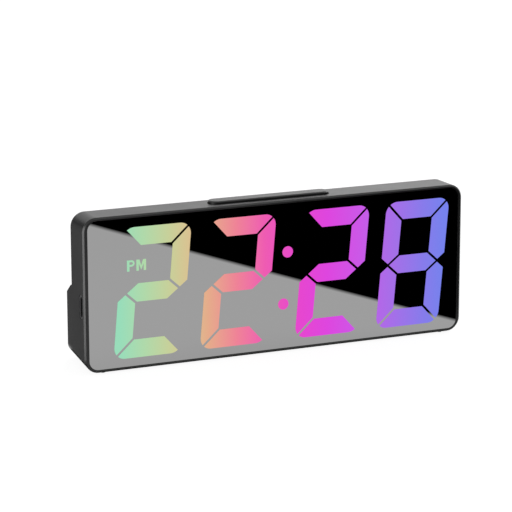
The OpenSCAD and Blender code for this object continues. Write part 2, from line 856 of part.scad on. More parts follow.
module rear_cover() {
    color("#29292a") stand() difference() {
        union() {
            intersection() {
                sleeve(wall + cover_gap, 0, depth_low);
                along_x(-body_w, body_w) difference() {
                    union() {
                        slab_side();
                        lower_side();
                        step_side();
                    }
                    cover_inside();
                }
            }
            tub();
            for (at = posts_at) post(at, y_cover_in);
            post(low_post_at, y_cover_low);
        }
        intersection() {
            translate([bay_x0, y_tub_in, bay_z - bay_h / 2]) cube([bay_len, depth_low, bay_h]);
            along_x(-body_w, body_w) cover_inside();
        }
        translate([open_x0, y_tub_in, open_z0])
            cube([open_x1 - open_x0, 2 * depth_low, open_z1 - open_z0]);
        for (at = top_bosses) screw_recess(at, depth_top);
        for (at = low_bosses) screw_recess(at, depth_low);
        for (x = button_x) translate([x, 0, button_z]) along_y(y_cover_in - 1, depth_top + 1)
            circle(button_r + button_gap);
        translate([buzzer_at.x, 0, buzzer_at.y]) along_y(y_cover_in - 1, depth_top + 1) {
            circle(0.7);
            for (a = [0 : 60 : 300]) rotate(a) translate([buzzer_r / 2, 0]) circle(0.7);
        }
        for (z = cell_rows) translate([bay_x0 - cell_gap / 2, y_tub - 1, z - contact_half / 2.5])
            cube([contact_t + cell_gap, 3, contact_half / 1.25]);
    }
}

module rear_button(i) {
    color("#3a3a3b") stand() translate([button_x[i], 0, button_z]) {
        along_y(y_switch + rear_plunger_out, depth_top + button_rise - button_edge) circle(button_r);
        translate([0, depth_top + button_rise - button_edge, 0]) rotate([-90, 0, 0])
            cylinder(h = button_edge, r1 = button_r, r2 = button_r - button_edge);
        along_y(y_cover_in - flange_gap - flange_t, y_cover_in - flange_gap) circle(button_r + flange_w);
    }
}
module set_button() { rear_button(0); }
module up_button() { rear_button(1); }
module down_button() { rear_button(2); }
module alarm_button() { rear_button(3); }

module rear_plunger(i) {
    color("#d8d8d8") stand() translate([button_x[i], 0, button_z])
        along_y(y_switch - rear_plunger_in, y_switch + rear_plunger_out) circle(rear_plunger_r);
}
module set_plunger() { rear_plunger(0); }
module up_plunger() { rear_plunger(1); }
module down_plunger() { rear_plunger(2); }
module alarm_plunger() { rear_plunger(3); }

module rear_switches() {
    color("#1a1a1a") stand() for (x = button_x) translate([x, 0, button_z]) difference() {
        along_y(y_pcb_back, y_switch) square(switch_w, center = true);
        along_y(y_switch - rear_plunger_in - button_travel - plunger_room, y_switch + 1)
            circle(rear_plunger_r + plunger_gap);
    }
}

module buzzer() {
    color("#161616") stand() translate([buzzer_at.x, 0, buzzer_at.y]) difference() {
        along_y(y_pcb_back, y_pcb_back + buzzer_t) circle(buzzer_r);
        along_y(y_pcb_back + buzzer_t - 1.5, y_pcb_back + buzzer_t + 1) circle(1);
    }
}

module battery_door() {
    x0 = open_x0 + door_gap;
    x1 = open_x1 - door_gap;
    z0 = open_z0 + door_gap;
    z1 = open_z1 - door_gap;
    tab_y = y_cover_low - tab_drop - tab_t;
    neck = 1.2;
    latch_w = 9;
    slit = [7, 0.8];
    color("#2d2d2e") stand() difference() {
        union() {
            translate([x0, depth_low - door_t, z0]) cube([x1 - x0, door_t, z1 - z0]);
            for (s = [-1, 1]) translate([x0, 0, bay_z + s * bay_h / 4 - tab_w / 2]) {
                translate([-tab_reach - door_gap, tab_y, 0])
                    cube([tab_reach + door_gap + neck, tab_t, tab_w]);
                translate([0, tab_y, 0]) cube([neck, depth_low - door_t - tab_y + 0.1, tab_w]);
            }
        }
        for (s = [-1, 1]) translate([x1 - slit.x, 0, (z0 + z1) / 2 + s * latch_w / 2 - slit.y / 2])
            cube([slit.x + 1, 2 * depth_low, slit.y]);
        for (i = [0 : 2]) translate([x1 - 3 - 2 * i, depth_low - 0.4, (z0 + z1) / 2 - latch_w / 2 + 1.4])
            cube([0.8, 1, latch_w - 2.8]);
    }
}

module battery_cells() {
    nub_r = 1.9;
    nub = 1;
    x0 = bay_x0 + leaf_reach + cell_gap / 2;
    x1 = x0 + cell_len;
    color("#8c9096") stand() for (i = [0, 1]) translate([0, cell_y, cell_rows[i]]) {
        along_x(x0 + (i == 1 ? nub : 0), x1 - (i == 0 ? nub : 0)) circle(cell_d / 2);
        along_x(i == 0 ? x1 - nub : x0, i == 0 ? x1 : x0 + nub) circle(nub_r);
    }
}

// Bent leaf that presses on the end of a cell, as (x, y) from the tub's end wall
module leaf_side() {
    low = cell_y - 1.1 * contact_half;
    high = cell_y + contact_half;
    bend = contact_t * sqrt(2);
    polygon([
        [0, low],
        [0, high],
        [contact_t, high],
        [contact_t, low + 2 * bend],
        [leaf_reach - bend, cell_y],
        [contact_t + 2 * bend, high - 2 * bend],
        [contact_t + 2.5 * bend, high - bend],
        [leaf_reach, cell_y],
        [2 * contact_t, low],
    ]);
}

module spring_contacts() {
    color("#cfd1d3") stand() for (z = cell_rows) {
        translate([bay_x0, 0, 0]) along_z(z - contact_half, z + contact_half) leaf_side();
        translate([bay_x0, y_pcb_back, z - contact_half / 3])
            cube([contact_t, cell_y - contact_half - y_pcb_back, contact_half / 1.5]);
    }
}

module bridge_contact() {
    span = cell_pitch + 2 * contact_half;
    color("#cfd1d3") stand()
        translate([bay_x0 + bay_len - contact_t, cell_y - contact_half, bay_z - span / 2])
            cube([contact_t, 2 * contact_half, span]);
}

module screw(at, seat, r, length, cap_r, cap_t) {
    translate([at.x, 0, at.y]) difference() {
        union() {
            along_y(seat - length, seat + 0.1) circle(r);
            along_y(seat, seat + cap_t) circle(cap_r);
        }
        for (a = [0, 90]) translate([0, seat + cap_t, 0]) rotate([0, a, 0])
            cube([1.2 * cap_r, cap_t, 0.3 * cap_r], center = true);
    }
}

module housing_screws() {
    color("#b9bbbe") stand() {
        for (at = top_bosses) screw(at, depth_top - sink_t, screw_r, screw_len - 0.5, head_r, head_t);
        for (at = low_bosses) screw(at, depth_low - sink_t, screw_r, screw_len - 0.5, head_r, head_t);
    }
}

module pcb_screws() {
    color("#b9bbbe") stand() for (at = pcb_screws_at)
        screw(at, y_pcb_back, pcb_screw_r, pcb_screw_len, pcb_head_r, pcb_head_t);
}

module front_feet() {
    color("#1b1b1b") foot_places(front_foot_y) cylinder(h = foot_h + foot_seat, r = foot_r);
}

module rear_feet() {
    color("#1b1b1b") foot_places(rear_foot_y) cylinder(h = foot_h + foot_seat, r = foot_r);
}

housing();
lens();
lens_tape();
diffuser_film();
display_reflector();
lit_segments();
dark_segments();
colon_dots();
pm_window();
main_pcb();
led_chips();
control_chips();
crystal();
capacitor();
usb_socket_shell();
usb_socket_tongue();
snooze_button();
snooze_switch();
snooze_plunger();
rear_cover();
set_button();
up_button();
down_button();
alarm_button();
set_plunger();
up_plunger();
down_plunger();
alarm_plunger();
rear_switches();
buzzer();
battery_door();
battery_cells();
spring_contacts();
bridge_contact();
housing_screws();
pcb_screws();
front_feet();
rear_feet();
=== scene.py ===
import json
import math

import bmesh
import bpy
from mathutils import Matrix, Vector
from mathutils.geometry import tessellate_polygon


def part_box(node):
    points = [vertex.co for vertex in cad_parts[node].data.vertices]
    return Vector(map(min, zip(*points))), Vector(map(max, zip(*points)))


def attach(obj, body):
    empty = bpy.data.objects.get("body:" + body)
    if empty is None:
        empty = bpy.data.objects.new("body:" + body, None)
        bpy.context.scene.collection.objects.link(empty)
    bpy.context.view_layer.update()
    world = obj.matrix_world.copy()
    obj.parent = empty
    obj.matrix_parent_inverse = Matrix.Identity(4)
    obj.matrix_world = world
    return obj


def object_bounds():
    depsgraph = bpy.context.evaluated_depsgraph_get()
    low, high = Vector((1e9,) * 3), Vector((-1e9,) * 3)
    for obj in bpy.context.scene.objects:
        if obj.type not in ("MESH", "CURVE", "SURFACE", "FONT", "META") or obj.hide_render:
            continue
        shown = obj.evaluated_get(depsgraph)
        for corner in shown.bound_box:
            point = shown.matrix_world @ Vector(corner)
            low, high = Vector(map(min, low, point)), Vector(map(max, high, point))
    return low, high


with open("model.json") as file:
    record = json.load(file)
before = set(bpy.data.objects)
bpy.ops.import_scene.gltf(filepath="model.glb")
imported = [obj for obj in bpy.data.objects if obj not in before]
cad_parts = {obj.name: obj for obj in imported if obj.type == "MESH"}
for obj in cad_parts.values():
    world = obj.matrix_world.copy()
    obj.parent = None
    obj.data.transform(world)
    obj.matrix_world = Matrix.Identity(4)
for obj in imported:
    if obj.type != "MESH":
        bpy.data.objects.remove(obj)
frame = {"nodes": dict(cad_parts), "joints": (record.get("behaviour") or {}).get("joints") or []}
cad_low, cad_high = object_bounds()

MM = 0.001

# The display, in mm on the face: x to the right, z up, from the middle of the lens
DIGIT_W = 28.2
DIGIT_H = 51.1
SEGMENT_T = 7.4
SEGMENT_GAP = 0.65
CORNER_R = 4.8
PINCH = 3.0
SLANT = math.tan(math.radians(5.15))
DIGIT_SPACE = 7.3
COLON_SPACE = 12.1
COLON_R = 2.25
COLON_PITCH = 20.7
COLON_DROP = 0.6
DISPLAY_LEFT = -66.8
DISPLAY_Z = -0.15
SHOWN = ("abdeg", "abdeg", "abdeg", "abcdefg")
LIGHT_INSET = 0.13
FILM_T = 0.05
ARC_STEPS = 10

# What the segments share: half a gap as the light shows it, their lit size, and the cuts at their ends
HALF_GAP = SEGMENT_GAP / 2 + LIGHT_INSET
LIT_T = SEGMENT_T - LIGHT_INSET
LIT_R = CORNER_R - LIGHT_INSET
MITRE_STEP = HALF_GAP * math.sqrt(2)
MITRE_TRIM = math.degrees(math.asin(HALF_GAP / LIT_R))
POINT_RISE = SEGMENT_T / 2 / (SEGMENT_T - PINCH)
POINT_STEP = HALF_GAP * math.hypot(1, POINT_RISE)

# The evening mark, in mm on the face
MARK_LEFT = -63.0
MARK_LOW = 8.3
MARK_H = 4.3
MARK_STROKE = 1.0
MARK_P_W = 3.1
MARK_M_W = 3.95
MARK_SPACE = 0.7
MARK_BOWL_R = 0.29 * MARK_H
MARK_BOWL_T = 0.75 * MARK_STROKE
MARK_SHOULDER = 1.25 * MARK_STROKE
MARK_NOTCH = 0.45 * MARK_H
MARK_CROOK = 0.62 * MARK_H
MARK_POINT = 0.06 * MARK_H

# Colours of the light from left to right: mm on the face, then red, green and blue
RAINBOW = (
    (-66, (153, 221, 186)),
    (-56, (176, 217, 170)),
    (-46, (199, 208, 154)),
    (-38, (217, 195, 146)),
    (-30, (229, 172, 139)),
    (-18, (239, 131, 151)),
    (-6, (239, 92, 178)),
    (8, (231, 71, 206)),
    (21, (222, 70, 223)),
    (36, (202, 89, 232)),
    (45, (176, 105, 232)),
    (54, (157, 115, 233)),
    (63, (136, 123, 235)),
    (72, (119, 130, 237)),
)

# The camera: its place in mm on the face, and its axes in the part's frame
CAMERA_ON_FACE = Vector((-379.005, -824.673, 219.542))
CAMERA_FORWARD = Vector((0.39810711, 0.84562837, -0.35556066))
CAMERA_RIGHT = Vector((0.91248771, -0.40485471, 0.05881193))
SENSOR = 36.0
LENS_LENGTH = 168.96
CLIP_NEAR = 0.01
CLIP_FAR = 100

# The edge of the dark sheet as the lens mirrors it, in mm on the face: a soft slope that bows a little
MIRRORED_EDGE_Z = 0.71
MIRRORED_EDGE_SLOPE = -0.344
MIRRORED_EDGE_R = 8900
MIRRORED_EDGE_SOFT = 1.3
MIRRORED_LEFT = -100
MIRRORED_RIGHT = 84
EDGE_STEPS = 16

# The stage, in metres: the floor, and sheets on it that only reflections show
FLOOR_PALE = 0.13
FLOOR_OWN = 0.915
FLOOR_HALF = 30.0
WORLD_LIGHT = 1.0
SHEET_Z = 0.0004
SHEET_FRONT = -1.6
SHEET_RIGHT = 1.6
WALL_LEFT = -1.8
WALL_HIGH = 0.9
LEFT_FLAG_GREY = 0.29
LEFT_FLAG_X = (-1.5, -0.0815)
LEFT_FLAG_Y = (-0.02, 0.9)
LEFT_WALL_GREY = 0.08
LEFT_WALL_X = -0.2
LEFT_WALL_HIGH = 0.25
CARD_LIGHT = 4.6
CARD_NEAR = (-0.083, -0.021)
CARD_FAR_X = -0.6
CARD_SPREAD = 0.75
CARD_HIGH = 0.32
UNDER_GREY = 0.05

# Soft lamps: name, place, aim, width and height in metres, then power in watts
LAMPS = (
    ("left_softbox", (-0.75, -0.42, 0.10), (0, 0, 0.03), (0.3, 0.5), 2.0),
    ("top_softbox", (0.85, 0.85, 1.0), (0, 0, 0.05), (1.2, 1.0), 20.0),
)


def linear(rgb):
    """A colour given in 0 to 255 as the linear values that the shaders take, by the sRGB curve."""
    shares = [c / 255 for c in rgb]
    return [s / 12.92 if s < 0.04045 else ((s + 0.055) / 1.055) ** 2.4 for s in shares]


def face_frame():
    """The matrix from the face, in mm with y into the clock, to the part's frame."""
    press = next(j for j in frame["joints"] if j["name"] == "set_press")
    lean = math.atan2(press["axis"][2], -press["axis"][1])
    low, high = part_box("lens")
    size = high - low
    height = (size.z * math.cos(lean) - size.y * math.sin(lean)) / math.cos(2 * lean)
    up = Vector((0, math.sin(lean), math.cos(lean)))
    front = Vector((0, low.y, high.z - height * math.cos(lean)))
    place = Matrix.Translation(front + up * height / 2)
    return place @ Matrix.Rotation(-lean, 4, "X") @ Matrix.Scale(MM, 4)


FACE = face_frame()
CAMERA_AT = FACE @ CAMERA_ON_FACE


def new_object(name, data):
    thing = bpy.data.objects.new(name, data)
    bpy.context.scene.collection.objects.link(thing)
    return thing


# Materials

# Most of a noise's values lie between these two
NOISE_LOW = 0.3
NOISE_HIGH = 0.7

# How noise is squeezed for marks that run along X, and for wipe marks across the lens
DRAWN = (1, 8, 8)
WIPED = (1, 1, 4)


class Look:
    """A Principled material and the nodes that feed it."""

    def __init__(self, name, colour, roughness, **settings):
        self.material = bpy.data.materials.new(name)
        self.material.use_nodes = True
        self.tree = self.material.node_tree
        self.shader = self.tree.nodes["Principled BSDF"]
        self.set("Base Color", (*colour, 1.0))
        self.set("Roughness", roughness)
        for socket, value in settings.items():
            self.set(socket.replace("_", " "), value)

    def set(self, socket, value):
        self.shader.inputs[socket].default_value = value

    def node(self, kind, **inputs):
        made = self.tree.nodes.new("ShaderNode" + kind)
        for socket, value in inputs.items():
            made.inputs[socket.replace("_", " ")].default_value = value
        return made

    def link(self, out, into):
        self.tree.links.new(out, into)

    def place(self):
        """Where a point lies in the part's frame, in metres."""
        return self.node("TexCoord").outputs["Object"]

    def along_x(self, start, end):
        """0 to 1 along X, from start to end in metres."""
        axes = self.node("SeparateXYZ")
        self.link(self.place(), axes.inputs["Vector"])
        share = self.node("MapRange", From_Min=start, From_Max=end)
        self.link(axes.outputs["X"], share.inputs["Value"])
        return share.outputs["Result"]

    def noise(self, grain, detail=2.0, stretch=None):
        """Noise whose grains have the given size in mm."""
        pattern = self.node("TexNoise", Scale=1 / (grain * MM), Detail=detail)
        place = self.place()
        if stretch:
            scaled = self.node("Mapping", Scale=stretch)
            self.link(place, scaled.inputs["Vector"])
            place = scaled.outputs["Vector"]
        self.link(place, pattern.inputs["Vector"])
        return pattern.outputs["Fac"]

    def colour_by(self, share, stops, into="Base Color", blend="LINEAR"):
        """Colour that changes with a share. Each stop is the share where it lies, and its colour."""
        ramp = self.node("ValToRGB")
        ramp.color_ramp.interpolation = blend
        elements = ramp.color_ramp.elements
        while len(elements) < len(stops):
            elements.new(0.5)
        for element, (position, colour) in zip(elements, stops):
            element.position = position
            element.color = (*colour, 1.0)
        self.link(share, ramp.inputs["Fac"])
        self.link(ramp.outputs["Color"], self.shader.inputs[into])

    def vary_colour(self, noise, low, high):
        self.colour_by(noise, ((NOISE_LOW, low), (NOISE_HIGH, high)))

    def vary_roughness(self, noise, low, high):
        spread = self.node("MapRange", From_Min=NOISE_LOW, From_Max=NOISE_HIGH, To_Min=low, To_Max=high)
        self.link(noise, spread.inputs["Value"])
        self.link(spread.outputs["Result"], self.shader.inputs["Roughness"])

    def bump(self, height, depth, strength=0.5):
        """Relief of the given depth in mm."""
        relief = self.node("Bump", Strength=strength, Distance=depth * MM)
        self.link(height, relief.inputs["Height"])
        self.link(relief.outputs["Normal"], self.shader.inputs["Normal"])


BLACK = (0.0075, 0.0075, 0.0077)
BLACK_PALER = (0.0105, 0.0105, 0.0107)
PLASTIC_IOR = 1.46
PLASTIC_CLOUD = 9
PLASTIC_SHEEN = 14
SHEEN_SHIFT = 0.04


def moulded_plastic(name, roughness, grain=0.22, relief=0.012):
    """Black plastic from a spark-eroded mould: fine grain, and a sheen that shifts a little."""
    look = Look(name, BLACK, roughness, IOR=PLASTIC_IOR)
    look.vary_colour(look.noise(PLASTIC_CLOUD, detail=4), BLACK, BLACK_PALER)
    sheen = look.noise(PLASTIC_SHEEN, detail=5)
    look.vary_roughness(sheen, roughness - SHEEN_SHIFT, roughness + SHEEN_SHIFT)
    look.bump(look.noise(grain, detail=3), relief)
    return look.material


LENS_MIRROR = 0.315
LENS_ROUGHNESS = 0.003
LENS_WIPE = 30
LENS_WIPED = (0.001, 0.004)


def half_mirror(name):
    """Smoked sheet with a mirror coating: a plain dark mirror with the faintest wipe marks."""
    look = Look(name, (LENS_MIRROR, LENS_MIRROR, LENS_MIRROR), LENS_ROUGHNESS, Metallic=1.0)
    look.vary_roughness(look.noise(LENS_WIPE, detail=3, stretch=WIPED), *LENS_WIPED)
    return look.material


def rainbow_light(name):
    """Light whose colour runs along the face."""
    look = Look(name, (0, 0, 0), roughness=0.6, Specular_IOR_Level=0.0, Emission_Strength=1.0)
    left, right = RAINBOW[0][0], RAINBOW[-1][0]
    stops = [((x - left) / (right - left), linear(rgb)) for x, rgb in RAINBOW]
    look.colour_by(look.along_x(left * MM, right * MM), stops, into="Emission Color")
    return look.material


METAL_CLOUD = 2.5
METAL_SMOOTHER = 0.08
METAL_ROUGHER = 0.1
METAL_RELIEF = 0.004


def metal(name, dark, light, roughness, grain=0.4):
    """Plated sheet or turned metal with fine drawing marks."""
    look = Look(name, light, roughness, Metallic=1.0)
    look.vary_colour(look.noise(METAL_CLOUD, detail=4), dark, light)
    marks = look.noise(grain, detail=3, stretch=DRAWN)
    look.vary_roughness(marks, roughness - METAL_SMOOTHER, roughness + METAL_ROUGHER)
    look.bump(look.noise(grain, detail=2, stretch=DRAWN), METAL_RELIEF, strength=0.3)
    return look.material


# USB socket shell: bright bare steel at the mouth and painted shade further in. Below are that steel, the
# dark of the painted shade, how far in mm it takes to come in, and the size in mm of the roughness grain.
SOCKET_BRIGHT = (0.42, 0.42, 0.43)
SOCKET_SHADE = (0.04, 0.04, 0.041)
PAINTED_SHADE_REACH = 0.7
SOCKET_GRAIN = 0.4


def shaded_socket(name):
    """Steel socket with painted shade: bright bare steel at the mouth, painted dark further in, where the
    recess would be in shade.
    """
    look = Look(name, SOCKET_SHADE, roughness=0.35, Metallic=1.0)
    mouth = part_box("usb_socket_shell")[0].x
    depth = look.along_x(mouth, mouth + PAINTED_SHADE_REACH * MM)
    look.colour_by(depth, ((0.0, SOCKET_BRIGHT), (1.0, SOCKET_SHADE)))
    look.vary_roughness(look.noise(SOCKET_GRAIN, detail=3), low=0.3, high=0.45)
    return look.material


RUBBER = (0.012, 0.012, 0.012)
RUBBER_DARKER = (0.009, 0.009, 0.009)
RUBBER_PALER = (0.02, 0.02, 0.019)
RUBBER_CLOUD = 1.2
RUBBER_GRAIN = 0.12
RUBBER_RELIEF = 0.02


def rubber(name):
    look = Look(name, RUBBER, roughness=0.8, IOR=1.5)
    look.vary_colour(look.noise(RUBBER_CLOUD, detail=4), RUBBER_DARKER, RUBBER_PALER)
    look.bump(look.noise(RUBBER_GRAIN), RUBBER_RELIEF)
    return look.material


FILM_RELIEF = 0.004
GRAINS_PER_CLOUD = 8


def plain_film(name, dark, light, roughness, cloud):
    """Films, tapes and small mouldings behind the lens and inside the housing."""
    look = Look(name, light, roughness)
    look.vary_colour(look.noise(cloud, detail=3), dark, light)
    look.bump(look.noise(cloud / GRAINS_PER_CLOUD), FILM_RELIEF, strength=0.3)
    return look.material


BOARD = (0.01, 0.12, 0.04)
BOARD_FIELDS = ((0.008, 0.10, 0.032, 1), (0.011, 0.12, 0.040, 1))
BOARD_TRACK = (0.03, 0.2, 0.07, 1)
TRACK_SCALE = 140.0
TRACK_W = 0.09
TRACK_RELIEF = 0.03


def circuit_board(name):
    """Solder mask over copper: straight tracks show as paler green."""
    look = Look(name, BOARD, roughness=0.32)
    tracks = look.node("TexBrick", Scale=TRACK_SCALE, Mortar_Size=TRACK_W, Mortar_Smooth=0.2)
    tracks.inputs["Color1"].default_value = BOARD_FIELDS[0]
    tracks.inputs["Color2"].default_value = BOARD_FIELDS[1]
    tracks.inputs["Mortar"].default_value = BOARD_TRACK
    look.link(look.place(), tracks.inputs["Vector"])
    look.link(tracks.outputs["Color"], look.shader.inputs["Base Color"])
    look.bump(tracks.outputs["Fac"], TRACK_RELIEF, strength=0.4)
    return look.material


CELL = (0.05, 0.06, 0.08)
CELL_SHEEN = 3

# Bands of a cell's jacket: the share of the length where each begins, and its colour
CELL_BANDS = (
    (0.0, (0.45, 0.46, 0.47)),
    (0.04, (0.028, 0.032, 0.045)),
    (0.70, (0.30, 0.31, 0.33)),
    (0.96, (0.45, 0.46, 0.47)),
)


def cell_jacket(name):
    """Printed jacket of a plain cell: dark, with a pale band towards one end."""
    look = Look(name, CELL, roughness=0.3, Metallic=0.6)
    low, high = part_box("battery_cells")
    look.colour_by(look.along_x(low.x, high.x), CELL_BANDS, blend="CONSTANT")
    look.vary_roughness(look.noise(CELL_SHEEN, detail=3), low=0.24, high=0.38)
    return look.material


# Each slot's look: dark and light colours, roughness, and for films the size of their clouds in mm
LOOKS = {
    "housing_black": moulded_plastic("housing_plastic", 0.34),
    "cover_black": moulded_plastic("cover_plastic", 0.38, grain=0.3, relief=0.02),
    "button_black": moulded_plastic("button_plastic", 0.34),
    "lens_smoke": half_mirror("half_mirror"),
    "tape_black": plain_film("foam_tape", (0.010, 0.010, 0.010), (0.016, 0.016, 0.016), 0.75, 1.5),
    "film_white": plain_film("smoke_film", (0.60, 0.60, 0.60), (0.68, 0.68, 0.67), 0.45, 3),
    "reflector_white": plain_film("white_reflector", (0.80, 0.80, 0.78), (0.86, 0.86, 0.84), 0.4, 4),
    "segment_lit": rainbow_light("rainbow_light"),
    "segment_dark": plain_film("dark_guide", (0.50, 0.50, 0.50), (0.58, 0.58, 0.57), 0.5, 3),
    "board_green": circuit_board("circuit_board"),
    "lamp_cream": plain_film("lamp_cream", (0.80, 0.66, 0.30), (0.88, 0.78, 0.46), 0.35, 0.8),
    "chip_black": plain_film("chip_epoxy", (0.010, 0.010, 0.010), (0.016, 0.016, 0.016), 0.55, 0.6),
    "tin_plate": metal("tin_plate", (0.52, 0.52, 0.53), (0.64, 0.64, 0.65), 0.3),
    "sleeve_navy": plain_film("capacitor_sleeve", (0.012, 0.018, 0.055), (0.018, 0.026, 0.07), 0.35, 2),
    "plunger_red": plain_film("red_plunger", (0.42, 0.020, 0.016), (0.50, 0.030, 0.022), 0.4, 0.8),
    "plunger_white": plain_film("white_plunger", (0.66, 0.66, 0.65), (0.74, 0.74, 0.72), 0.4, 0.8),
    "cell_wrap": cell_jacket("cell_jacket"),
    "nickel_plate": metal("nickel_plate", (0.58, 0.56, 0.52), (0.70, 0.68, 0.64), 0.24),
    "screw_zinc": metal("zinc_screw", (0.42, 0.43, 0.45), (0.56, 0.57, 0.59), 0.34, grain=0.2),
    "foot_rubber": rubber("foot_rubber"),
    # The USB socket's shell: bare steel at the mouth, painted shade further in
    "socket_shade": shaded_socket("socket_painted_shade"),
}

# Solids whose look differs from that of their slot
# The USB socket's shell gets the look with painted shade inside its mouth
OWN_LOOKS = {"usb_socket_shell": "socket_shade"}


def dress_nodes():
    """Each solid's slot, as the frame names it, gets its look."""
    for name, node in frame["nodes"].items():
        for place in node.material_slots:
            place.material = LOOKS[OWN_LOOKS.get(name, place.material.name)]


# The lit display


def arc(centre, radius, start, end):
    """Points on an arc of the face, with angles in degrees."""
    turns = [math.radians(start + (end - start) * i / ARC_STEPS) for i in range(ARC_STEPS + 1)]
    return [(centre[0] + radius * math.cos(t), centre[1] + radius * math.sin(t)) for t in turns]


def side_bar():
    """Outline of the upper left segment, from the middle of the digit."""
    x, z = -DIGIT_W / 2, DIGIT_H / 2
    return arc((x + CORNER_R, z - CORNER_R), LIT_R, 180, 135 + MITRE_TRIM) + [
        (x + LIT_T, z - LIT_T - MITRE_STEP),
        (x + LIT_T, (LIT_T - PINCH) * POINT_RISE + POINT_STEP),
        (x + PINCH, POINT_STEP),
        (x + LIGHT_INSET, (PINCH - LIGHT_INSET) * POINT_RISE + POINT_STEP),
    ]


def top_bar():
    """Outline of the top segment, with a mitre at each end."""
    x, z = DIGIT_W / 2, DIGIT_H / 2
    reach = x - LIT_T - MITRE_STEP
    return (
        arc((-x + CORNER_R, z - CORNER_R), LIT_R, 135 - MITRE_TRIM, 90)
        + arc((x - CORNER_R, z - CORNER_R), LIT_R, 90, 45 + MITRE_TRIM)
        + [(reach, z - LIT_T), (-reach, z - LIT_T)]
    )


def middle_bar():
    """Outline of the middle segment, with a point at each end."""
    high = SEGMENT_T / 2 - LIGHT_INSET
    tip = DIGIT_W / 2 - PINCH - POINT_STEP / POINT_RISE
    flat = tip - high / POINT_RISE
    return [(-tip, 0), (-flat, high), (flat, high), (tip, 0), (flat, -high), (-flat, -high)]


def segment(letter):
    """Outline of a segment by its usual letter."""
    outline = {"a": top_bar, "d": top_bar, "g": middle_bar}.get(letter, side_bar)()
    across = -1 if letter in "bc" else 1
    over = -1 if letter in "cde" else 1
    return [(x * across, z * over) for x, z in outline]


def on_display(x, z, middle_x):
    """A point of a digit or of the colon at its place on the face, slanted with the display."""
    return (middle_x + x + z * SLANT, DISPLAY_Z + z)


def light_film(name, shapes):
    """Thin glowing film on the lens. Each shape is an outline and any holes in it."""
    points = []
    faces = []
    for shape in shapes:
        rings = [[Vector((x, 0, z)) for x, z in loop] for loop in shape]
        back = [point for ring in rings for point in ring]
        rise = len(back)
        first = len(points)
        points += back + [point - Vector((0, FILM_T, 0)) for point in back]
        for corners in tessellate_polygon(rings):
            faces += [[first + i for i in corners], [first + rise + i for i in corners]]
        for ring in rings:
            turn = [first + i for i in range(len(ring))]
            faces += [(i, j, j + rise, i + rise) for i, j in zip(turn, turn[1:] + turn[:1])]
            first += len(ring)
    mesh = bpy.data.meshes.new(name)
    mesh.from_pydata([FACE @ point for point in points], [], faces)
    form = bmesh.new()
    form.from_mesh(mesh)
    bmesh.ops.recalc_face_normals(form, faces=form.faces)
    form.to_mesh(mesh)
    form.free()
    mesh.materials.append(LOOKS["segment_lit"])
    film = new_object(name, mesh)
    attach(film, "clock")


def bowl_letter(left, right, low, high):
    """Outlines of a block letter with a bowl, and of the hole in it."""
    leg = left + MARK_STROKE
    centre = (right - MARK_BOWL_R, high - MARK_BOWL_R)
    hole_r = MARK_BOWL_R - MARK_BOWL_T
    outer = [(left, low), (left, high)]
    outer += arc(centre, MARK_BOWL_R, 90, -90)
    outer += [(leg, centre[1] - MARK_BOWL_R), (leg, low)]
    hole = [(leg, centre[1] + hole_r)]
    hole += arc(centre, hole_r, 90, -90)
    hole += [(leg, centre[1] - hole_r)]
    return [outer, hole]


def pointed_letter(left, right, low, high):
    """Outline of a block letter with two legs and a pointed middle."""
    centre = (left + right) / 2
    return [
        (left, low),
        (left, high),
        (left + MARK_SHOULDER, high),
        (centre, low + MARK_NOTCH),
        (right - MARK_SHOULDER, high),
        (right, high),
        (right, low),
        (right - MARK_STROKE, low),
        (right - MARK_STROKE, low + MARK_CROOK),
        (centre, low + MARK_POINT),
        (left + MARK_STROKE, low + MARK_CROOK),
        (left + MARK_STROKE, low),
    ]


def mark_outlines():
    low, high = MARK_LOW, MARK_LOW + MARK_H
    middle = MARK_LEFT + MARK_P_W
    start = middle + MARK_SPACE
    first = bowl_letter(MARK_LEFT, middle, low, high)
    return [first, [pointed_letter(start, start + MARK_M_W, low, high)]]


def colon_outlines():
    middle_x = DISPLAY_LEFT + 2 * DIGIT_W + DIGIT_SPACE + COLON_SPACE / 2
    dots = []
    for side in (-1, 1):
        centre = on_display(0, side * COLON_PITCH / 2 - COLON_DROP, middle_x)
        dots.append([arc(centre, COLON_R, 0, 180)[:-1] + arc(centre, COLON_R, 180, 360)[:-1]])
    return dots


def light_display():
    middle_x = DISPLAY_LEFT + DIGIT_W / 2
    for place, letters in enumerate(SHOWN):
        bars = [[[on_display(x, z, middle_x) for x, z in segment(letter)]] for letter in letters]
        light_film(f"digit_{place + 1}_light", bars)
        middle_x += DIGIT_W + (COLON_SPACE if place == 1 else DIGIT_SPACE)
    light_film("colon_light", colon_outlines())
    light_film("evening_mark_light", mark_outlines())


# Stage


def flat_sheet(name, corners, material, faces=None):
    """A sheet of the stage: one face through all the corners, unless its faces are given."""
    mesh = bpy.data.meshes.new(name)
    mesh.from_pydata(corners, [], faces or [list(range(len(corners)))])
    mesh.materials.append(material)
    sheet = new_object(name, mesh)
    return sheet


def rectangle(x_range, y_range, z):
    (x0, x1), (y0, y1) = x_range, y_range
    return [(x0, y0, z), (x1, y0, z), (x1, y1, z), (x0, y1, z)]


def seen_share(tree):
    """1 for rays from the camera, or by way of gloss or glass, and 0 for the others."""
    path = tree.nodes.new("ShaderNodeLightPath")
    share = path.outputs["Is Camera Ray"]
    for ray in ("Is Glossy Ray", "Is Transmission Ray"):
        either = tree.nodes.new("ShaderNodeMath")
        either.operation = "MAXIMUM"
        tree.links.new(share, either.inputs[0])
        tree.links.new(path.outputs[ray], either.inputs[1])
        share = either.outputs[0]
    return share


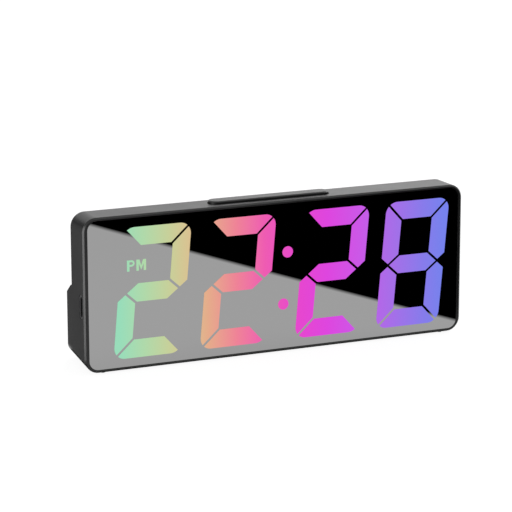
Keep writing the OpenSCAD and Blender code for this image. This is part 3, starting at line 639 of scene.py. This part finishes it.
def white_floor():
    """Floor that is white in sight and in reflections, and keeps a faint shadow."""
    material = bpy.data.materials.new("white_floor")
    material.use_nodes = True
    tree = material.node_tree
    tree.nodes.clear()
    lit = tree.nodes.new("ShaderNodeBsdfDiffuse")
    lit.inputs["Color"].default_value = (FLOOR_PALE, FLOOR_PALE, FLOOR_PALE, 1)
    own = tree.nodes.new("ShaderNodeEmission")
    strength = tree.nodes.new("ShaderNodeMath")
    strength.operation = "MULTIPLY"
    strength.inputs[1].default_value = FLOOR_OWN
    tree.links.new(seen_share(tree), strength.inputs[0])
    tree.links.new(strength.outputs[0], own.inputs["Strength"])
    both = tree.nodes.new("ShaderNodeAddShader")
    tree.links.new(lit.outputs[0], both.inputs[0])
    tree.links.new(own.outputs[0], both.inputs[1])
    out = tree.nodes.new("ShaderNodeOutputMaterial")
    tree.links.new(both.outputs[0], out.inputs["Surface"])
    reach = (-FLOOR_HALF, FLOOR_HALF)
    flat_sheet("floor", rectangle(reach, reach, 0), material)


def white_world():
    world = bpy.data.worlds.new("white_world")
    bpy.context.scene.world = world
    world.use_nodes = True
    tree = world.node_tree
    tree.nodes.clear()
    seen = tree.nodes.new("ShaderNodeBackground")
    lighting = tree.nodes.new("ShaderNodeBackground")
    lighting.inputs["Strength"].default_value = WORLD_LIGHT
    mix = tree.nodes.new("ShaderNodeMixShader")
    tree.links.new(seen_share(tree), mix.inputs["Fac"])
    tree.links.new(lighting.outputs[0], mix.inputs[1])
    tree.links.new(seen.outputs[0], mix.inputs[2])
    out = tree.nodes.new("ShaderNodeOutputWorld")
    tree.links.new(mix.outputs[0], out.inputs["Surface"])


def flag_material(name, grey, soft_edge=False):
    """Plain grey of the given brightness; a soft edge fades out where its "dark" attribute falls to 0."""
    material = bpy.data.materials.new(name)
    material.use_nodes = True
    tree = material.node_tree
    tree.nodes.clear()
    tone = tree.nodes.new("ShaderNodeEmission")
    tone.inputs["Color"].default_value = (grey, grey, grey, 1)
    out = tree.nodes.new("ShaderNodeOutputMaterial")
    if not soft_edge:
        tree.links.new(tone.outputs[0], out.inputs["Surface"])
        return material
    dark = tree.nodes.new("ShaderNodeAttribute")
    dark.attribute_name = "dark"
    clear = tree.nodes.new("ShaderNodeBsdfTransparent")
    mix = tree.nodes.new("ShaderNodeMixShader")
    tree.links.new(dark.outputs["Fac"], mix.inputs["Fac"])
    tree.links.new(clear.outputs[0], mix.inputs[1])
    tree.links.new(tone.outputs[0], mix.inputs[2])
    tree.links.new(mix.outputs[0], out.inputs["Surface"])
    return material


def only_in_reflections(thing):
    thing.visible_camera = False
    thing.visible_diffuse = False
    thing.visible_transmission = False
    thing.visible_volume_scatter = False
    thing.visible_shadow = False


def flag(name, corners, grey, faces=None):
    """A sheet of one grey that only reflections show."""
    only_in_reflections(flat_sheet(name, corners, flag_material(name, grey), faces))


def mirrored_on_floor(x, z):
    """The point just above the floor that the camera sees mirrored at x and z on the lens, in mm."""
    behind = FACE.inverted() @ CAMERA_AT
    behind.y = -behind.y
    start = FACE @ behind
    through = FACE @ Vector((x, 0, z))
    way = through - start
    return start + way * ((SHEET_Z - start.z) / way.z)


def dark_sheet():
    """Black sheet on the floor that runs up a wall in front of the clock and to its right.

    The lens mirrors its slanting edge from the camera's side, and the wall from straight ahead.
    """
    tilt = Vector((-MIRRORED_EDGE_SLOPE, 1)).normalized() * MIRRORED_EDGE_SOFT / 2

    def edge(x, side):
        z = MIRRORED_EDGE_Z + MIRRORED_EDGE_SLOPE * x + x * x / (2 * MIRRORED_EDGE_R)
        return mirrored_on_floor(x + side * tilt.x, z + side * tilt.y)

    step = (MIRRORED_RIGHT - MIRRORED_LEFT) / EDGE_STEPS
    stops = [MIRRORED_LEFT + step * i for i in range(EDGE_STEPS + 1)]
    faint = [edge(x, -1) for x in stops]
    full = [edge(x, 1) for x in stops]
    far_left = Vector((full[0].x, SHEET_FRONT, SHEET_Z))
    far_right = Vector((SHEET_RIGHT, SHEET_FRONT, SHEET_Z))
    near_right = Vector((SHEET_RIGHT, full[-1].y, SHEET_Z))
    wall_left = Vector((WALL_LEFT, SHEET_FRONT, SHEET_Z))
    top = [Vector((p.x, p.y, WALL_HIGH)) for p in (far_right, near_right, wall_left)]
    corners = faint + full + [far_left, far_right, near_right, wall_left] + top
    n = len(stops)
    low = 2 * n
    faces = [(i, i + 1, n + i + 1, n + i) for i in range(EDGE_STEPS)]
    faces += [(*range(n, low), low + 2, low + 1, low)]
    faces += [(low + 3, low + 1, low + 4, low + 6), (low + 1, low + 2, low + 5, low + 4)]
    sheet = flat_sheet("dark_sheet", corners, flag_material("dark_sheet", 0.0, soft_edge=True), faces)
    dark = sheet.data.attributes.new("dark", "FLOAT", "POINT")
    for i, value in enumerate(dark.data):
        value.value = 0.0 if i < len(faint) else 1.0
    only_in_reflections(sheet)


def left_flag():
    """Grey sheet on the floor to the left, and a low dark wall behind it, which keep the left side dark."""
    flag("left_flag", rectangle(LEFT_FLAG_X, LEFT_FLAG_Y, SHEET_Z), LEFT_FLAG_GREY)
    left, right, back = LEFT_FLAG_X[0], LEFT_WALL_X, LEFT_FLAG_Y[1]
    foot = [(left, back, SHEET_Z), (right, back, SHEET_Z)]
    top = [(right, back, LEFT_WALL_HIGH), (left, back, LEFT_WALL_HIGH)]
    flag("left_wall", foot + top, LEFT_WALL_GREY)


def edge_card():
    """Bright wedge of card at the front left, upright at its far end: the light line on the left edge."""
    (x, y), far = CARD_NEAR, CARD_FAR_X
    front = y - CARD_SPREAD * (x - far)
    corners = [(x, y, SHEET_Z), (far, y, SHEET_Z), (far, front, SHEET_Z)]
    corners += [(far, y, CARD_HIGH), (far, front, CARD_HIGH)]
    flag("edge_card", corners, CARD_LIGHT, faces=[(0, 1, 2), (1, 3, 4, 2)])


def under_sheet():
    """Dark sheet under the clock: the shade that its underside would mirror."""
    corners = rectangle((LEFT_FLAG_X[1], cad_high.x), (cad_low.y, cad_high.y), SHEET_Z)
    flag("under_sheet", corners, UNDER_GREY)


def soft_light(name, at, towards, size, power):
    lamp = bpy.data.lights.new(name, "AREA")
    lamp.shape = "RECTANGLE"
    lamp.size, lamp.size_y = size
    lamp.energy = power
    made = new_object(name, lamp)
    made.visible_camera = False
    made.location = at
    made.rotation_euler = (Vector(towards) - Vector(at)).to_track_quat("-Z", "Y").to_euler()


def camera():
    data = bpy.data.cameras.new("camera")
    data.sensor_fit = "HORIZONTAL"
    data.sensor_width = SENSOR
    data.lens = LENS_LENGTH
    data.clip_start = CLIP_NEAR
    data.clip_end = CLIP_FAR
    made = new_object("camera", data)
    up = CAMERA_RIGHT.cross(CAMERA_FORWARD)
    axes = Matrix((CAMERA_RIGHT, up, -CAMERA_FORWARD)).transposed().to_4x4()
    made.matrix_world = Matrix.Translation(CAMERA_AT) @ axes
    bpy.context.scene.camera = made


camera()
white_world()
white_floor()
dark_sheet()
left_flag()
edge_card()
under_sheet()
for lamp in LAMPS:
    soft_light(*lamp)
dress_nodes()
light_display()
bpy.context.scene.view_settings.view_transform = "Standard"
